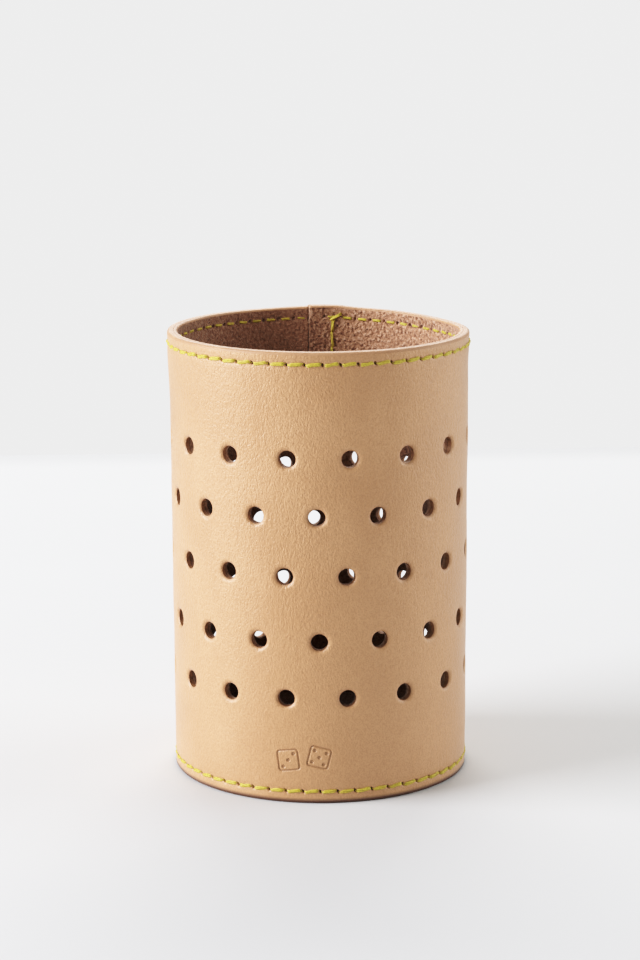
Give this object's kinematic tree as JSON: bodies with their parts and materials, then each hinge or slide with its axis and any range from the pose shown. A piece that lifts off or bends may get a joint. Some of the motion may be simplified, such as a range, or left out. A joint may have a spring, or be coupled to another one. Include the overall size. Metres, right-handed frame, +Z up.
{
  "type": "leather dice cup",
  "caption": "Open cylindrical leather cup with a perforated two-layer wall, stitched rim, lapped back seam and a dished base recessed under the floor.",
  "frame": {"origin": "centre of the ring that the cup stands on, at the level of the bottom edge", "axes": "+Z up along the cup's axis; -Y is the front, with the pressed mark; +Y is the back, with the lap seam"},
  "size_m": [0.077, 0.077, 0.114],
  "materials": {
    "grain_leather": "undyed vegetable-tanned grain, satin",
    "suede": "rough napped flesh side",
    "base_leather": "undyed vegetable-tanned, satin, burnished edge",
    "thread": "waxed twisted thread, yellow-green"
  },
  "bodies": {
    "root": {"outer_sleeve": "grain_leather", "lining_sleeve": "suede", "base_dish": "base_leather", "floor_lining": "suede", "rim_outer_thread": "thread", "rim_inner_thread": "thread", "base_outer_thread": "thread", "base_inner_thread": "thread", "seam_outer_thread": "thread", "seam_inner_thread": "thread", "seam_tie_off": "thread"}
  },
  "joints": []
}
